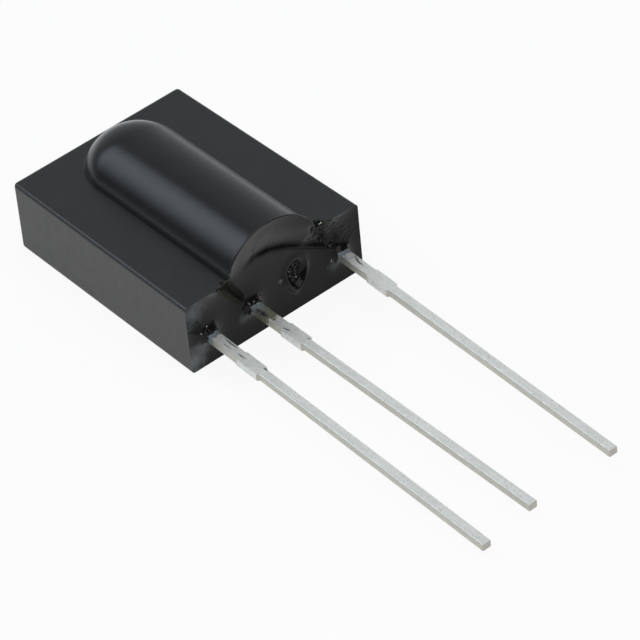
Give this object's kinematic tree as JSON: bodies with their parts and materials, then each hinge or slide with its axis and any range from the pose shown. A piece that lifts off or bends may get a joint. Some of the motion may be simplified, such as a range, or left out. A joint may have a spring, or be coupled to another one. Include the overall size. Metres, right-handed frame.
{
  "type": "infrared remote control receiver",
  "caption": "Side-view infrared remote control receiver: black cast-epoxy block with a half-cylinder domed lens and tin-plated through-hole leads.",
  "frame": {"origin": "centre of the flat back face", "axes": "+Z out of the back face towards the lens, +X across the leads, leads leave towards -Y"},
  "size_m": [0.01, 0.0304, 0.0057],
  "materials": {
    "epoxy": "cast black infrared-passing epoxy, satin sides, polished lens",
    "tinned_lead": "matte tin plating",
    "silicon": "polished silicon",
    "die_adhesive": "silver-filled adhesive",
    "gold_wire": "drawn gold"
  },
  "bodies": {
    "root": {"epoxy_body": "epoxy", "output_lead": "tinned_lead", "ground_lead_frame": "tinned_lead", "supply_lead": "tinned_lead", "photodiode_chip": "silicon", "amplifier_chip": "silicon", "photodiode_adhesive": "die_adhesive", "amplifier_adhesive": "die_adhesive", "bond_wire_output": "gold_wire", "bond_wire_supply": "gold_wire", "bond_wire_ground": "gold_wire", "bond_wire_diode_anode": "gold_wire", "bond_wire_diode_cathode": "gold_wire"}
  },
  "joints": []
}
